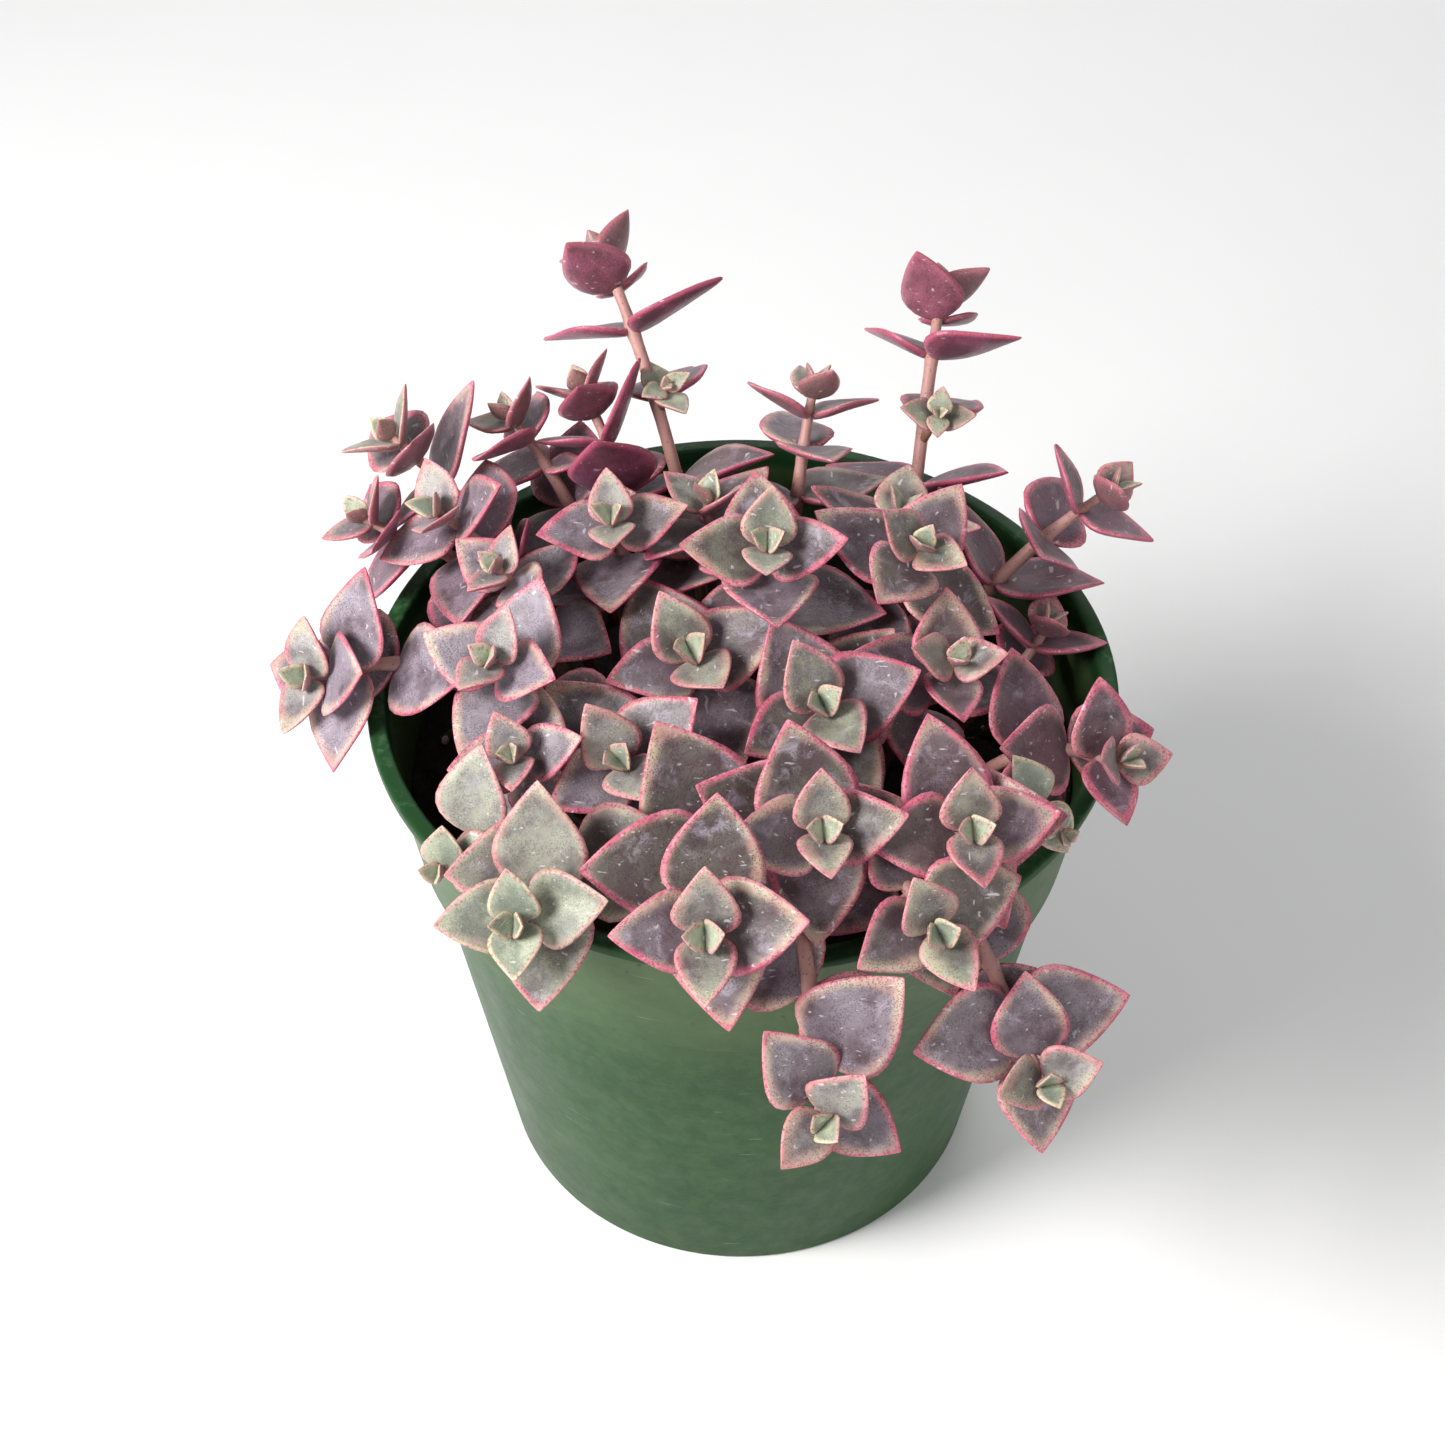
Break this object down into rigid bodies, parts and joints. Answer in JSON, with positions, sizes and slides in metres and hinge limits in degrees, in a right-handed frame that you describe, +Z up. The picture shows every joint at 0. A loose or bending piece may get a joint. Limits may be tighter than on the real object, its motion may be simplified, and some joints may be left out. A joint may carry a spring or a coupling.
{
  "type": "potted crassula",
  "caption": "Trailing variegated succulent with pairs of thick pointed leaves on branching stems, rooted in dark potting mix in a round tapered nursery pot",
  "frame": {"origin": "centre of the face of the pot's base pad, which stands on the surface", "axes": "+Z up along the pot's axis; -Y is the front, where the shoots trail lowest over the rim; +X is to the right seen from the front"},
  "size_m": [0.1242, 0.135, 0.1277],
  "materials": {
    "green_plastic": "satin",
    "peat": "matte",
    "perlite": "matte",
    "bark": "matte",
    "leaf": "satin"
  },
  "bodies": {
    "root": {"pot": "green_plastic", "potting_mix": "peat", "perlite_grain_1": "perlite", "perlite_grain_2": "perlite", "perlite_grain_3": "perlite", "bark_chip_1": "bark", "bark_chip_2": "bark", "bark_chip_3": "bark", "shoot_tall_left": "leaf", "shoot_tall_right": "leaf", "shoot_back_middle": "leaf", "shoot_back_left": "leaf", "shoot_back_edge": "leaf", "shoot_left_top": "leaf", "shoot_left_upper": "leaf", "shoot_left_inner": "leaf", "shoot_left_middle": "leaf", "shoot_left_outer": "leaf", "shoot_left_front": "leaf", "shoot_left_lower": "leaf", "shoot_front_far_left": "leaf", "shoot_front_left": "leaf", "shoot_front_middle": "leaf", "shoot_front_trailing": "leaf", "shoot_right_trailing": "leaf", "shoot_front_right": "leaf", "shoot_centre_front": "leaf", "shoot_right_front": "leaf", "shoot_small_green": "leaf", "shoot_right_outer": "leaf", "shoot_right_middle": "leaf", "shoot_right_inner": "leaf", "shoot_right_far": "leaf", "shoot_centre_back": "leaf", "shoot_centre_right": "leaf", "shoot_centre_left": "leaf", "shoot_middle": "leaf", "shoot_middle_right": "leaf", "shoot_inner_left": "leaf", "shoot_inner_right": "leaf", "shoot_inner_back": "leaf"}
  },
  "joints": []
}
